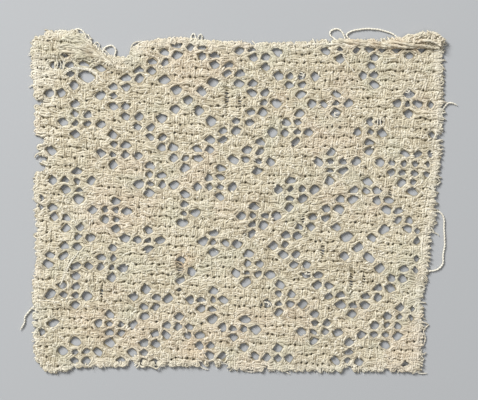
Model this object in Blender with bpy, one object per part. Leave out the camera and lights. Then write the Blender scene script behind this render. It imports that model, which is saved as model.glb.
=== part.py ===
# Openwork lace fragment, lying flat, in metres with +Z up.
# The cloth is one thin sheet. Its darned mesh leaves open cells in a half-drop
# repeat of lozenges, each ringed by small crosses. All four sides are frayed,
# one top corner is rolled over and the other is crumpled and torn.
# The origin is under the middle of the sheet, +X runs along its long side.

import math
import random

import bmesh
import bpy
from mathutils import Vector

MM = 0.001

# The mesh that the lace is darned on, about its middle cell
MESH_ACROSS = 5.03 * MM
MESH_DOWN = 3.93 * MM
MIDDLE_COLUMN = 16
MIDDLE_ROW = 18
MIDDLE_X = -2.8 * MM
MIDDLE_Y = 1.8 * MM
COLUMN_LEAN = -0.223 * MM
ROW_DROP = -0.177 * MM
TAPER = -0.018 * MM
ROW_SPREAD = -0.00037 * MM
COLUMNS = range(0, 33)
ROWS = range(2, 37)

# How the hand-worked mesh sways: size, columns and rows to a wave, share of a wave
SWAYS_ACROSS = ((-0.60 * MM, 44, 44, 0.0), (-0.40 * MM, 22, 0, 0.0))
SWAYS_DOWN = ((0.29 * MM, 0, 14, 0.0), (-0.28 * MM, 34, 0, 0.25))

# The repeat, counted in cells
LOZENGE_COLUMN = 12
LOZENGE_ROW = 8
REPEAT = 30
HALF_DROP = 15
SALTIRE_REACH = 2
LATTICE_LINES = (6, 7)
CROSS_RING = 12
CROSS_SPACING = 3

# Cells that wear or mending has closed, and cells that wear has opened
CLOSED_CELLS = (
    (0, 26), (0, 27), (1, 26), (9, 29), (11, 20), (11, 26), (12, 26), (18, 2), (18, 33), (21, 4), (28, 5),
)
WORN_CELLS = ((31, 13), (31, 15), (31, 30), (3, 26))

# An open cell by how many open cells it shares a bar with: half width, half height
CELL_SIZE = {
    0: (2.05 * MM, 1.50 * MM),
    1: (2.00 * MM, 1.45 * MM),
    2: (1.90 * MM, 1.38 * MM),
    3: (1.50 * MM, 1.22 * MM),
    4: (1.30 * MM, 1.08 * MM),
}
CELL_UNEVEN = 0.16
CELL_DRIFT = 0.35 * MM
CELL_SHOULDER = 0.42
CELLS_CUT = 300
EDGE_MARGIN = 1.3 * MM

# The sheet
SHEET_THICK = 1.2 * MM
SWELL_LENGTH = 100.0 * MM
THREAD_RADIUS = 0.42 * MM
OFF_FLOOR = 0.05 * MM

# Swells of the upper side: size, waves across and up in the length above, share of a wave
SWELLS = (
    (0.12 * MM, 1.3, 0.8, 0.0), (0.10 * MM, -0.9, 1.7, 0.3),
    (0.06 * MM, 3.6, -2.4, 0.1), (0.05 * MM, 2.1, 4.2, 0.6),
)

# Each side from its start, clockwise from the top left corner:
# place along the side, reach from the origin
TOP_SIDE = (
    (-87.0, 63.0), (-85.0, 68.5), (-77.0, 71.0), (-65.0, 70.5), (-60.5, 66.5), (-54.5, 60.5),
    (-47.5, 61.5),
    (-43.0, 66.0), (-30.0, 68.2), (-4.0, 66.4), (30.0, 67.2), (66.0, 68.4), (72.5, 69.6),
    (76.0, 70.8), (83.0, 70.4), (86.0, 66.0),
)
RIGHT_SIDE = (
    (62.0, 85.6), (40.0, 84.8), (27.0, 84.2), (3.0, 83.8), (-3.5, 80.6), (-13.0, 83.4),
    (-20.0, 79.8), (-38.0, 78.2), (-47.0, 75.6), (-56.0, 77.0), (-66.0, 76.6),
)
BOTTOM_SIDE = (
    (75.0, -71.6), (66.0, -71.6), (30.0, -71.0), (2.0, -71.4), (-8.0, -68.8), (-14.0, -69.2),
    (-44.0, -68.6), (-62.0, -70.0), (-72.0, -72.0), (-80.0, -70.6),
)
LEFT_SIDE = (
    (-66.0, -85.0), (-50.0, -86.2), (-30.0, -86.4), (0.0, -85.8), (20.0, -84.4), (34.0, -85.0),
    (47.0, -87.0), (56.0, -86.0), (61.0, -88.0),
)

# Bites worn out of the sides: place along the side, half width, depth
BITES = {
    "top": ((-56.0, 3.0, 1.2), (5.5, 1.6, 1.0), (48.0, 2.0, 0.8)),
    "right": ((26.6, 1.4, 2.6), (-2.5, 2.0, 1.4), (-31.0, 2.4, 1.0)),
    "bottom": ((46.0, 2.0, 2.2), (-9.5, 2.6, 2.4), (-45.5, 2.2, 2.0), (-16.0, 1.8, 1.4)),
    "left": ((42.0, 2.4, 3.6), (25.5, 3.0, 3.2), (16.8, 1.4, 1.6), (13.6, 1.6, 2.6),
             (-1.4, 1.8, 1.6), (-11.4, 1.4, 1.4)),
}

# Fraying of each side: spacing of the thread ends, how far they stand out
FRAY = {
    "top": (2.4 * MM, 0.55 * MM),
    "right": (2.1 * MM, 0.85 * MM),
    "bottom": (2.5 * MM, 0.60 * MM),
    "left": (2.9 * MM, 0.75 * MM),
}

FRAY_UNEVEN = 0.6
FRAY_VALLEY = 0.3

# Folds that stand up from the sheet, each a few route points in mm and a radius
FOLDS = (
    {"name": "rolled_edge", "radius": 1.45 * MM,
     "route": ((44.0, 66.0), (58.0, 65.0), (72.0, 65.0), (84.5, 66.4))},
    {"name": "rolled_flap", "radius": 1.10 * MM,
     "route": ((73.5, 67.6), (79.0, 68.8), (84.5, 67.6))},
    {"name": "corner_fold", "radius": 1.05 * MM,
     "route": ((-79.0, 61.8), (-68.0, 61.0), (-57.0, 58.6), (-48.5, 55.0))},
    {"name": "corner_pleat", "radius": 0.95 * MM,
     "route": ((-76.0, 67.0), (-68.0, 66.2), (-60.5, 62.6), (-53.5, 57.4))},
)

# Loose threads, each a route in mm from where it leaves the cloth
LOOSE_THREADS = (
    {"name": "top_loop", "route": ((46.5, 64.5), (41.5, 67.0), (38.6, 69.2), (38.7, 71.2),
                                   (41.3, 72.0), (43.5, 70.6), (45.2, 66.5))},
    {"name": "top_arch", "route": ((50.5, 65.5), (46.2, 68.0), (45.6, 70.0), (49.0, 71.4),
                                   (54.5, 72.0), (59.5, 71.5), (64.5, 70.0), (67.5, 67.5))},
    {"name": "right_whisker", "route": ((83.0, 36.0), (85.4, 38.0), (87.6, 40.6), (89.8, 40.8),
                                        (91.8, 39.9))},
    {"name": "side_loop", "route": ((78.5, -3.5), (82.5, -4.2), (85.6, -7.0), (86.4, -12.0),
                                    (87.0, -18.5), (86.6, -25.0), (84.2, -28.6), (78.0, -29.6))},
    {"name": "left_tail", "route": ((-83.5, -43.0), (-86.6, -45.2), (-89.4, -48.4),
                                    (-89.8, -51.0), (-91.6, -54.4))},
    {"name": "corner_loop", "route": ((-74.0, 67.5), (-70.0, 70.6), (-67.2, 71.9),
                                      (-64.6, 70.2), (-63.5, 67.0))},
    {"name": "dip_loop", "route": ((-57.0, 60.0), (-56.6, 63.4), (-53.6, 65.0),
                                   (-51.6, 63.4), (-52.4, 59.6))},
)
ROUTE_STEP = 1.8 * MM
FOLD_SIDES = 1
THREAD_SIDES = 0

CREAM = (0.70, 0.62, 0.45, 1.0)
COTTON_ROUGHNESS = 0.92


def chance(column, row, draw):
    """An even value from -1 to 1 that belongs to one cell and one draw."""
    return random.Random("%d %d %d" % (column, row, draw)).uniform(-1.0, 1.0)


def sway(across, down, wave):
    """How far one gentle wave of the mesh moves a point."""
    size, columns, rows, share = wave
    turns = share
    turns += across / columns if columns else 0.0
    turns += down / rows if rows else 0.0
    return size * math.sin(2.0 * math.pi * turns)


def mesh_point(column, row):
    """The place of a point of the mesh, given in cells."""
    across = column - MIDDLE_COLUMN
    down = row - MIDDLE_ROW
    x = MIDDLE_X + MESH_ACROSS * across + COLUMN_LEAN * down + TAPER * across * down
    y = MIDDLE_Y - MESH_DOWN * down + ROW_DROP * across + ROW_SPREAD * across ** 2 * down
    x += sum(sway(across, down, wave) for wave in SWAYS_ACROSS)
    y += sum(sway(across, down, wave) for wave in SWAYS_DOWN)
    return Vector((x, y))


def from_lozenge(column, row):
    """How many cells across and down the nearest lozenge's centre is."""
    across = abs((column - LOZENGE_COLUMN + HALF_DROP) % REPEAT - HALF_DROP)
    down = abs((row - LOZENGE_ROW + HALF_DROP) % REPEAT - HALF_DROP)
    if across + down > HALF_DROP:
        return HALF_DROP - across, HALF_DROP - down
    return across, down


def in_cross(across, down):
    """Whether a cell belongs to one of the small crosses that ring a lozenge."""
    for centre_across in range(0, CROSS_RING + 1, CROSS_SPACING):
        centre_down = CROSS_RING - centre_across
        beyond_across = across - centre_across
        beyond_down = down - centre_down
        if beyond_down == 0 and -2 <= beyond_across <= 1:
            return centre_across > 0 or abs(beyond_across) <= 1
        if beyond_across == 0 and -2 <= beyond_down <= 1:
            return centre_down > 0 or abs(beyond_down) <= 1
        at_tip = centre_across == 0 or centre_down == 0
        if beyond_across == -1 and beyond_down == -1 and not at_tip:
            return True
    return False


def is_open(column, row):
    """Whether the pattern leaves a cell of the mesh undarned."""
    if (column, row) in CLOSED_CELLS:
        return False
    if (column, row) in WORN_CELLS:
        return True
    across, down = from_lozenge(column, row)
    if across == down and across <= SALTIRE_REACH:
        return True
    return across + down in LATTICE_LINES or in_cross(across, down)


def open_neighbours(column, row):
    beside = ((1, 0), (-1, 0), (0, 1), (0, -1))
    return sum(is_open(column + across, row + down) for across, down in beside)


def cell_outline(column, row):
    """The six corners of one open cell, its long way across."""
    half_wide, half_high = CELL_SIZE[open_neighbours(column, row)]
    half_wide *= 1.0 + CELL_UNEVEN * chance(column, row, 1)
    half_high *= 1.0 + CELL_UNEVEN * chance(column, row, 2)
    centre = mesh_point(column, row)
    centre += CELL_DRIFT * Vector((chance(column, row, 3), chance(column, row, 4)))
    skew = CELL_SHOULDER * half_wide
    lean = 0.5 * skew * chance(column, row, 5)
    corners = (
        (half_wide, 0.0), (skew + lean, half_high), (-skew + lean, half_high),
        (-half_wide, 0.0), (-skew - lean, -half_high), (skew - lean, -half_high),
    )
    return [centre + Vector(corner) for corner in corners]


def side_line(table, side, upright):
    """Points of one side at its fraying's spacing, every other one a thread end."""
    spacing, stand_out = FRAY[side]
    outward = 1.0 if table[0][1] > 0.0 else -1.0
    start, end = table[0][0] * MM, table[-1][0] * MM
    steps = max(2, round(abs(end - start) / spacing) * 2)
    points = []
    for step in range(steps + 1):
        place = start + (end - start) * step / steps
        reach = reach_at(table, place)
        for bite_at, half_wide, depth in BITES[side]:
            near = abs(place / MM - bite_at) / half_wide
            if near < 1.0:
                reach -= outward * depth * MM * (1.0 - near * near)
        if step % 2 == 1:
            reach += outward * stand_out * (1.0 + FRAY_UNEVEN * chance(step, 1, 6))
        else:
            reach -= outward * stand_out * FRAY_VALLEY * (1.0 + chance(step, 3, 7))
        points.append(Vector((reach, place)) if upright else Vector((place, reach)))
    return points


def reach_at(table, place):
    """The reach between a side table's rows, eased so that the line has no corners."""
    rows = sorted(table)
    for (low, low_reach), (high, high_reach) in zip(rows, rows[1:]):
        if place <= high * MM + 1e-9:
            share = (place / MM - low) / (high - low)
            share = min(max(share, 0.0), 1.0)
            eased = share * share * (3.0 - 2.0 * share)
            return (low_reach + (high_reach - low_reach) * eased) * MM
    return rows[-1][1] * MM


def cloth_outline():
    """The frayed outline, clockwise from the top left corner."""
    line = side_line(TOP_SIDE, "top", False)
    line += side_line(RIGHT_SIDE, "right", True)
    line += side_line(BOTTOM_SIDE, "bottom", False)
    line += side_line(LEFT_SIDE, "left", True)
    return line


def is_inside(point, outline):
    """Whether a point lies inside a closed outline."""
    inside = False
    for start, end in zip(outline, outline[1:] + outline[:1]):
        if (start.y > point.y) != (end.y > point.y):
            cross_x = start.x + (point.y - start.y) * (end.x - start.x) / (end.y - start.y)
            if point.x < cross_x:
                inside = not inside
    return inside


def clear_of_edge(corners, outline):
    """Whether a cell lies inside the sheet with a margin of cloth all round."""
    centre = sum(corners, Vector((0.0, 0.0))) / len(corners)
    for corner in corners:
        out = corner - centre
        if not is_inside(corner + out.normalized() * EDGE_MARGIN, outline):
            return False
    return True


def area_of(corners):
    return 0.5 * abs(sum(a.cross(b) for a, b in zip(corners, corners[1:] + corners[:1])))


def open_cells(outline):
    """The outlines of the largest open cells, as many as are cut through."""
    cells = []
    for row in ROWS:
        for column in COLUMNS:
            if is_open(column, row):
                corners = cell_outline(column, row)
                if clear_of_edge(corners, outline):
                    cells.append(corners)
    cells.sort(key=area_of, reverse=True)
    return cells[:CELLS_CUT]


def swell(x, y):
    """How much the cloth's upper side rises or sinks at one place."""
    height = 0.0
    for size, waves_across, waves_up, share in SWELLS:
        turns = (waves_across * x + waves_up * y) / SWELL_LENGTH + share
        height += size * math.sin(2.0 * math.pi * turns)
    return height


def as_mesh_object(source, name, collection):
    """The evaluated shape of a curve object as a welded mesh object."""
    evaluated = source.evaluated_get(bpy.context.evaluated_depsgraph_get())
    mesh = bpy.data.meshes.new_from_object(evaluated)
    shell = bmesh.new()
    shell.from_mesh(mesh)
    bmesh.ops.remove_doubles(shell, verts=shell.verts, dist=0.005 * MM)
    bmesh.ops.recalc_face_normals(shell, faces=shell.faces)
    shell.to_mesh(mesh)
    shell.free()
    made = bpy.data.objects.new(name, mesh)
    made.matrix_world = source.matrix_world
    collection.objects.link(made)
    bpy.data.objects.remove(source)
    return made


def even_facets(mesh):
    """Turn the long thin facets of a flat sheet into well shaped ones."""
    shell = bmesh.new()
    shell.from_mesh(mesh)
    for upward in (1.0, -1.0):
        faces = {face for face in shell.faces if face.normal.z * upward > 0.9}
        edges = {edge for face in faces for edge in face.edges}
        inner = [edge for edge in edges if all(face in faces for face in edge.link_faces)]
        bmesh.ops.beautify_fill(shell, faces=list(faces), edges=inner)
    shell.to_mesh(mesh)
    shell.free()


def flat_sheet(outline, cells, collection):
    """The sheet as a filled flat curve with its open cells, given its thickness."""
    curve = bpy.data.curves.new("sheet_outline", "CURVE")
    curve.dimensions = "2D"
    curve.fill_mode = "BOTH"
    curve.extrude = SHEET_THICK / 2.0
    for line in [outline] + cells:
        spline = curve.splines.new("POLY")
        spline.points.add(len(line) - 1)
        for point, place in zip(spline.points, line):
            point.co = (place.x, place.y, 0.0, 1.0)
        spline.use_cyclic_u = True
    flat = bpy.data.objects.new("sheet_outline", curve)
    collection.objects.link(flat)
    bpy.context.view_layer.update()
    sheet = as_mesh_object(flat, "lace", collection)
    even_facets(sheet.data)
    for vertex in sheet.data.vertices:
        x, y, z = vertex.co
        if z > 0.0:
            vertex.co.z = SHEET_THICK + swell(x, y)
        else:
            vertex.co.z = 0.0
    return sheet


def smooth_route(route, step):
    """Points at an even step along the smooth curve through a route's points."""
    knots = [Vector(place) * MM for place in route]
    knots = [2.0 * knots[0] - knots[1]] + knots + [2.0 * knots[-1] - knots[-2]]
    points = []
    for before, start, end, after in zip(knots, knots[1:], knots[2:], knots[3:]):
        count = max(1, round((end - start).length / step))
        for index in range(count):
            t = index / count
            bend = (2.0 * start + (end - before) * t
                    + (2.0 * before - 5.0 * start + 4.0 * end - after) * t ** 2
                    + (3.0 * start - before - 3.0 * end + after) * t ** 3)
            points.append(bend / 2.0)
    points.append(knots[-2])
    return points


def cord_shape(name, route, radius, bevel_steps, collection):
    """A tube along a route, level just above the surface, as a mesh object."""
    curve = bpy.data.curves.new(name, "CURVE")
    curve.dimensions = "3D"
    curve.bevel_depth = radius
    curve.bevel_resolution = bevel_steps
    curve.use_fill_caps = True
    points = smooth_route(route, ROUTE_STEP)
    spline = curve.splines.new("POLY")
    spline.points.add(len(points) - 1)
    for point, place in zip(spline.points, points):
        point.co = (place.x, place.y, radius + OFF_FLOOR, 1.0)
    tube = bpy.data.objects.new(name, curve)
    collection.objects.link(tube)
    bpy.context.view_layer.update()
    return as_mesh_object(tube, name, collection)


def join_solid(target, tool):
    """Fuse a tube into the sheet, as the thread or the fold is one with the cloth."""
    union = target.modifiers.new("fuse_" + tool.name, "BOOLEAN")
    union.operation = "UNION"
    union.solver = "EXACT"
    union.object = tool
    tool.hide_render = True
    tool.display_type = "WIRE"


def cotton():
    material = bpy.data.materials.new("cream_thread")
    material.use_nodes = True
    shader = material.node_tree.nodes["Principled BSDF"]
    shader.inputs["Base Color"].default_value = CREAM
    shader.inputs["Roughness"].default_value = COTTON_ROUGHNESS
    shader.inputs["Metallic"].default_value = 0.0
    return material


def main():
    for item in list(bpy.data.objects):
        bpy.data.objects.remove(item)
    parts = bpy.data.collections.new("lace_fragment")
    tools = bpy.data.collections.new("shapes_fused_in")
    bpy.context.scene.collection.children.link(parts)
    bpy.context.scene.collection.children.link(tools)

    outline = cloth_outline()
    lace = flat_sheet(outline, open_cells(outline), parts)
    for fold in FOLDS:
        ridge = cord_shape(fold["name"], fold["route"], fold["radius"], FOLD_SIDES, tools)
        join_solid(lace, ridge)
    for loose in LOOSE_THREADS:
        strand = cord_shape(loose["name"], loose["route"], THREAD_RADIUS, THREAD_SIDES, tools)
        join_solid(lace, strand)
    lace.data.materials.append(cotton())


main()
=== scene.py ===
# Openwork lace fragment, worked thread by thread over its frame, in metres.
# The mesh and its repeat come from the same sizes as the solid.

import math
import random

import bmesh
import bpy
import numpy as np
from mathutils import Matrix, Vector
from mathutils.geometry import delaunay_2d_cdt


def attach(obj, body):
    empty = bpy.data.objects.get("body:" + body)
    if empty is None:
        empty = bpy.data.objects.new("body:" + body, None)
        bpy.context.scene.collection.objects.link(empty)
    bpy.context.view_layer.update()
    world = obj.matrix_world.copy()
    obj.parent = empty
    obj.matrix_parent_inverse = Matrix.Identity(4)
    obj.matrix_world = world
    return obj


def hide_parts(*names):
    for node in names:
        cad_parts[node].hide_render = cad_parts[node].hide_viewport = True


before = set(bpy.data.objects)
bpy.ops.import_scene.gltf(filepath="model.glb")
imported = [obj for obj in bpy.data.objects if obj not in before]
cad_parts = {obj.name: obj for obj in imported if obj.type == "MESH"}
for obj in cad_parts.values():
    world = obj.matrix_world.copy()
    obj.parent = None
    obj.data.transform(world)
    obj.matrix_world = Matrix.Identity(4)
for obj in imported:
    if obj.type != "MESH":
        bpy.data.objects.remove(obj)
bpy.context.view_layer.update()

MM = 0.001
BODY = "root"

# The mesh that the lace is darned on, about its middle cell
MESH_ACROSS = 5.03 * MM
MESH_DOWN = 3.93 * MM
MIDDLE_COLUMN = 16
MIDDLE_ROW = 18
MIDDLE_X = -2.8 * MM
MIDDLE_Y = 1.8 * MM
COLUMN_LEAN = -0.223 * MM
ROW_DROP = -0.177 * MM
TAPER = -0.018 * MM
ROW_SPREAD = -0.00037 * MM
COLUMNS = range(-2, 36)
ROWS = range(0, 38)
PATTERN_COLUMNS = range(0, 33)
PATTERN_ROWS = range(2, 37)
SWAYS_ACROSS = ((-0.60 * MM, 44, 44, 0.0), (-0.40 * MM, 22, 0, 0.0))
SWAYS_DOWN = ((0.29 * MM, 0, 14, 0.0), (-0.28 * MM, 34, 0, 0.25))

# Where wear has pulled the mesh out of line: place, reach across and down, shift
PULLS = (
    (-59.4, -5.2, 15, 15, 1.7, -0.1), (48.9, 1.5, 14, 14, 1.5, 0.2), (-9, -17.9, 13, 13, -1.35, 0.1),
    (17.4, -41.8, 18, 18, -1.25, -0.3), (-20.4, 31.7, 20, 20, -1.1, 0), (17.4, 40.1, 14, 14, 0.85, 0.1),
    (53.1, 31.7, 22, 22, 0, 0.85), (74.1, 43.5, 12, 12, -1.1, 0.2), (80.4, 40.1, 6, 6, -1.9, 0),
    (58.6, 56.5, 5, 6.5, -2.6, 0.4), (-69.1, 56.5, 8, 8, -1.5, 0.4), (-78.3, -31.3, 9, 11, -2, 0.7),
    (63.6, 64.9, 14.3, 3.8, 2.1, 0), (39.3, 63.2, 5, 5, -1.4, -0.3), (9.9, 64.9, 34, 4, -0.9, -1.4),
    (77, -12, 5, 14, -1.2, 0),
)

# The repeat, counted in cells
LOZENGE_COLUMN = 12
LOZENGE_ROW = 8
REPEAT = 30
HALF_DROP = 15
SALTIRE_REACH = 2
LATTICE_LINES = (6, 7)
CROSS_RING = 12
CROSS_SPACING = 3
CLOSED_CELLS = (
    (0, 7), (0, 8), (0, 26), (0, 27), (0, 30), (0, 31), (0, 32), (8, 36), (9, 29), (11, 20), (11, 26),
    (12, 26), (16, 36), (17, 36), (18, 2), (18, 33), (20, 36), (21, 4), (21, 36), (25, 25), (28, 5),
    (12, 28), (30, 3), (31, 2), (32, 17), (32, 18), (32, 28),
)
WORN_CELLS = (
    (3, 26), (9, 36), (27, 2), (31, 13), (31, 15), (31, 16), (31, 30), (31, 31), (32, 13), (32, 14),
    (32, 15), (32, 30),
)

# An open cell by how many open cells it shares a bar with: half width, half height
CELL_SIZE = {
    0: (2.10 * MM, 1.62 * MM),
    1: (2.00 * MM, 1.54 * MM),
    2: (1.90 * MM, 1.38 * MM),
    3: (1.50 * MM, 1.22 * MM),
    4: (1.30 * MM, 1.08 * MM),
}
CELL_UNEVEN = 0.20
OPENED_WIDE = 1.17
OPENED_HIGH = 1.31
OPENING_ROUNDNESS = 1.38
CELL_DRIFT = 0.30 * MM
EDGE_COLUMNS = (0, 32)
EDGE_CELL = (0.60, 0.85)
CELL_LEAN = (0.30, 0.20)
CELL_SKEW = 0.45
SHARE_ON_CLOTH = 0.6

# How an opening parts the threads: how far aside they are moved, in cells towards an open
# and a darned neighbour, or else as a share of the opening's own size
LIMIT_IN_CELLS = (0.50, 0.74)
LIMIT_WIDE = 1.9
LIMIT_HIGH = 2.0
GAP_OVERRUN = 1.12
FADE_IN = 0.3 * MM
RIM_HALVINGS = 12
RIM_CLEARANCE = 0.05 * MM
CELL_REACH = 4.4 * MM

# Tears in the crumpled corner: place, half width, half height, turn in degrees
TEARS = (
    (-77.4, 56.7, 1.8, 1.5, 0), (-74.2, 56.7, 2.1, 1.7, 0), (-70.3, 56.6, 2.5, 1.7, -10),
    (-64.9, 56.7, 2.9, 1.6, -12), (-58, 55.5, 3.4, 1.4, -24), (-63.7, 52, 4.2, 2.6, -20),
    (-70.3, 53, 2, 1.4, 0), (-69, 48.2, 2, 2, 0), (-72.7, 60.9, 1.8, 1.1, -30), (-79.8, 67, 0.7, 0.4, 0),
    (82.9, 63.5, 2, 1.1, -8), (-54.4, 59.1, 1.8, 0.7, -38), (58.8, 32.8, 2, 0.9, 0),
    (71.6, 60.7, 1.9, 1.6, 0), (-24.8, -37.6, 1.1, 0.8, 0), (-84, 60.7, 0.5, 0.45, 0),
    (-82.6, 58.9, 0.45, 0.4, 0), (-83.9, 47.7, 0.7, 0.4, -20),
)

# A pattern cell makes way for a tear of the torn corner that comes nearer than this margin
TORN_CORNER_END = -50.0
TEAR_MARGIN = 2.3

# Patches where the darning is thinner: column, row, reach in cells
THIN_PATCHES = (
    (27, 28, 6), (24, 22, 4), (10, 22, 3.5), (5, 29, 4), (3, 24, 3), (14, 8, 4), (19, 30, 4), (30, 20, 3),
    (9, 12, 2.5), (17, 6, 4.5),
)
THIN_SHARE = 0.42

# Ladders, where only level threads cross a gap: place, half width, half height
LADDERS = (
    (-24.3, -28.9, 1.7, 2.5), (-4.8, 43.5, 0.8, 8), (0.6, 41, 0.7, 3.8), (2.6, -14.4, 0.8, 1.6),
    (35.2, -21, 0.8, 3.2), (47.3, -33.8, 0.7, 7), (52.7, -32.5, 0.6, 3.5), (27, -8, 0.7, 2),
    (63.6, 3, 0.7, 2.2), (9.6, -44, 0.6, 1.8), (-57.3, -38.9, 0.6, 4), (43, -4.5, 0.6, 3),
)

# The threads
WARPS_PER_CELL = 5
WEFTS_PER_CELL = 4
YARN_RADIUS = 0.54 * MM
WEAVE_RISE = 0.20 * MM
CLOTH_MIDDLE = 0.74 * MM
WARP_STEPS_PER_CELL = 7
WEFT_STEPS_PER_CELL = 8
WEFT_PLACES = (-0.335, -0.115, 0.115, 0.335)
ROW_PUFF = 0.24 * MM
SEAM_DEPTH = 0.30 * MM
SEAM_WIDTH = 0.085
# How much darker the threads are painted along the seams between rows, as shade in the seam grooves
SEAM_SHADE = 0.85
STITCH_SLANT = 0.75 * MM
RIM_ALLOWANCE = 0.40 * MM
PINHOLE_ALLOWANCE = 0.44 * MM
PINHOLE_SHARE = 0.60
PINHOLE_SIZE = ((0.17, 0.30), (0.18, 0.26))
PINHOLE_LIMITS = (1.6 * MM, 1.6 * MM, 1.3 * MM, 1.3 * MM)
PINHOLE_DRIFT = 0.2 * MM
PINHOLE_REACH = 2.0 * MM
PINHOLE_FROM_CELL = 0.45 * MM
PINHOLE_APART = 1.05 * MM
UPRIGHT_SHARE = 0.14
LEVEL_SHARE = 0.26
THREAD_WANDER = 0.17 * MM
RIM_WANDER = 0.20 * MM
RIM_HEIGHT = (-0.34, 0.12)
LOWEST_THREAD = 0.5 * MM
WORN_BORDER = 4.0 * MM
ABOVE_FLOOR = 0.04 * MM
GROUND_LOW = 0.35 * MM
GROUND_HIGH = 0.70 * MM

# Two-ply threads: how high they lie on the cloth and how thick each ply is
LOOSE_TOP_AND_PLY = (1.35 * MM, 0.22 * MM)
STRAY_TOP_AND_PLY = (1.45 * MM, 0.15 * MM)
WHISKER_TOP_AND_PLY = (1.1 * MM, 0.17 * MM)
CURL_TOP_AND_PLY = (1.0 * MM, 0.14 * MM)
PLY_OFFSET = 0.85
PLY_TURNS = 0.19
CURL_RADII = (2.2, 1.5, 1.1, 1.0, 1.1, 1.5, 2.2)

# The small things: how many, and how far they keep from the openings
FLAP_STITCHES = 90
GATHERED_STRANDS = 22
SHORT_FLOATS = 5200
UPRIGHT_FLOATS = 0.35
FLOAT_FROM_CELL = 0.5 * MM
FLOAT_FROM_PINHOLE = 0.85 * MM
FIBRES = 900

# Each side from its start, clockwise from the top left corner:
# place along the side, reach from the origin
TOP_SIDE = (
    (-86.3, 63), (-85.2, 68.8), (-78, 71.2), (-68.7, 71.6), (-64, 69.2), (-61, 65.6), (-56.5, 61.8),
    (-53.1, 60.4), (-45.8, 60.5), (-43.6, 64.8), (-39.3, 66.8), (-30.5, 68.3), (-22.5, 68.5), (-14, 67.4),
    (-5, 66.8), (15, 66.3), (26, 66.7), (37, 67.4), (60, 67.8), (68, 68.6), (74, 70), (78.5, 70.8),
    (82, 70.3), (85.6, 66.4),
)
RIGHT_SIDE = (
    (63, 86), (48, 86.2), (34, 86.1), (21, 85.3), (10.7, 84.3), (0.2, 83), (-6, 83.4), (-10.3, 82.6),
    (-13.4, 81.1), (-20.8, 80.5), (-29.7, 79.7), (-36.5, 78.4), (-41.8, 77.4), (-47, 77.9), (-52.3, 78.1),
    (-62.8, 77.6), (-69, 77.6),
)
BOTTOM_SIDE = (
    (76, -71.9), (66, -71.7), (30, -71.6), (6, -71.4), (-2.5, -70.8), (-8, -70.2), (-20, -69.4),
    (-44, -69.5), (-58, -69.8), (-68, -70), (-74, -71.7), (-78, -72.3), (-82, -71.2),
)
LEFT_SIDE = (
    (-67, -85.2), (-62.8, -86.2), (-52, -86.7), (-36, -86.7), (-29, -86), (-26, -85), (-20.8, -85.5),
    (-6, -85.6), (0.2, -86.1), (8.6, -86.1), (20, -85.5), (30, -85.7), (40, -85.8), (45, -86),
    (49, -86.5), (53, -87.1), (58, -87.1), (62, -87),
)

# Bites out of each side: place along it, half width, depth
BITES = {
    "top": ((5.5, 1.6, 1), (48, 2, 0.8)),
    "right": ((26.6, 1.6, 2.4), (-2.3, 1, 0.7), (-13.8, 1.6, 0.8), (-41.8, 1.6, 0.8)),
    "bottom": ((46, 2, 2.4), (11.4, 1.5, 1.8), (-6.2, 2.2, 2.7), (-11.6, 2, 3), (-15.4, 1.6, 2.4),
        (-45.3, 2.2, 2.2), (28, 1.2, 0.9), (-30, 1.3, 0.9), (62, 1.4, 1)),
    "left": ((41.4, 2, 3.2), (-46.8, 1, 2.6), (-50.2, 0.9, 2.4), (-54, 0.9, 2), (25, 2.5, 3.9),
        (20.8, 1.3, 2.6), (17.4, 1.9, 4.4), (13.4, 2.1, 4.4), (-1.4, 1.8, 1.6), (-11.4, 1.4, 1.2)),
}

# The notch in the edge at the seam between two rows or columns
NOTCH = 0.75 * MM
NOTCH_WIDTH = 0.12
SIDES = {
    "top": (TOP_SIDE, False), "right": (RIGHT_SIDE, True),
    "bottom": (BOTTOM_SIDE, False), "left": (LEFT_SIDE, True),
}
OUTLINE_STEP = 0.6 * MM
BITE_LEFT_BARE = 0.7 * MM

# Rolled folds: size at the start and at the end in mm, strands, turns, route in mm
FOLDS = (
    (0.50, 1.35, 14, 1.1, ((42, 66.9), (48, 66.3), (54, 65.6), (60, 65), (66, 65), (74, 65.3),
                           (79.6, 65.6), (84.4, 65))),
    (0.8, 0.9, 7, 0.7, ((71, 66.6), (74, 68.2), (77.6, 69.2), (81, 68.8), (83.8, 66.8))),
)

# Pleats that stand up from the sheet: height and width in mm, route in mm
PLEATS = (
    (0.75, 1.3, ((-79, 61.8), (-68, 61), (-57, 58.6), (-48.5, 55))),
    (0.65, 1.2, ((-76, 67), (-68, 66.2), (-60.5, 62.6), (-53.5, 57.4))),
)

# Swells of the whole sheet: size, waves across and up in the length below, share of a wave
SWELL_LENGTH = 100.0 * MM
SWELLS = (
    (0.12 * MM, 1.3, 0.8, 0.0), (0.10 * MM, -0.9, 1.7, 0.3),
    (0.06 * MM, 3.6, -2.4, 0.1), (0.05 * MM, 2.1, 4.2, 0.6),
)

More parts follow.
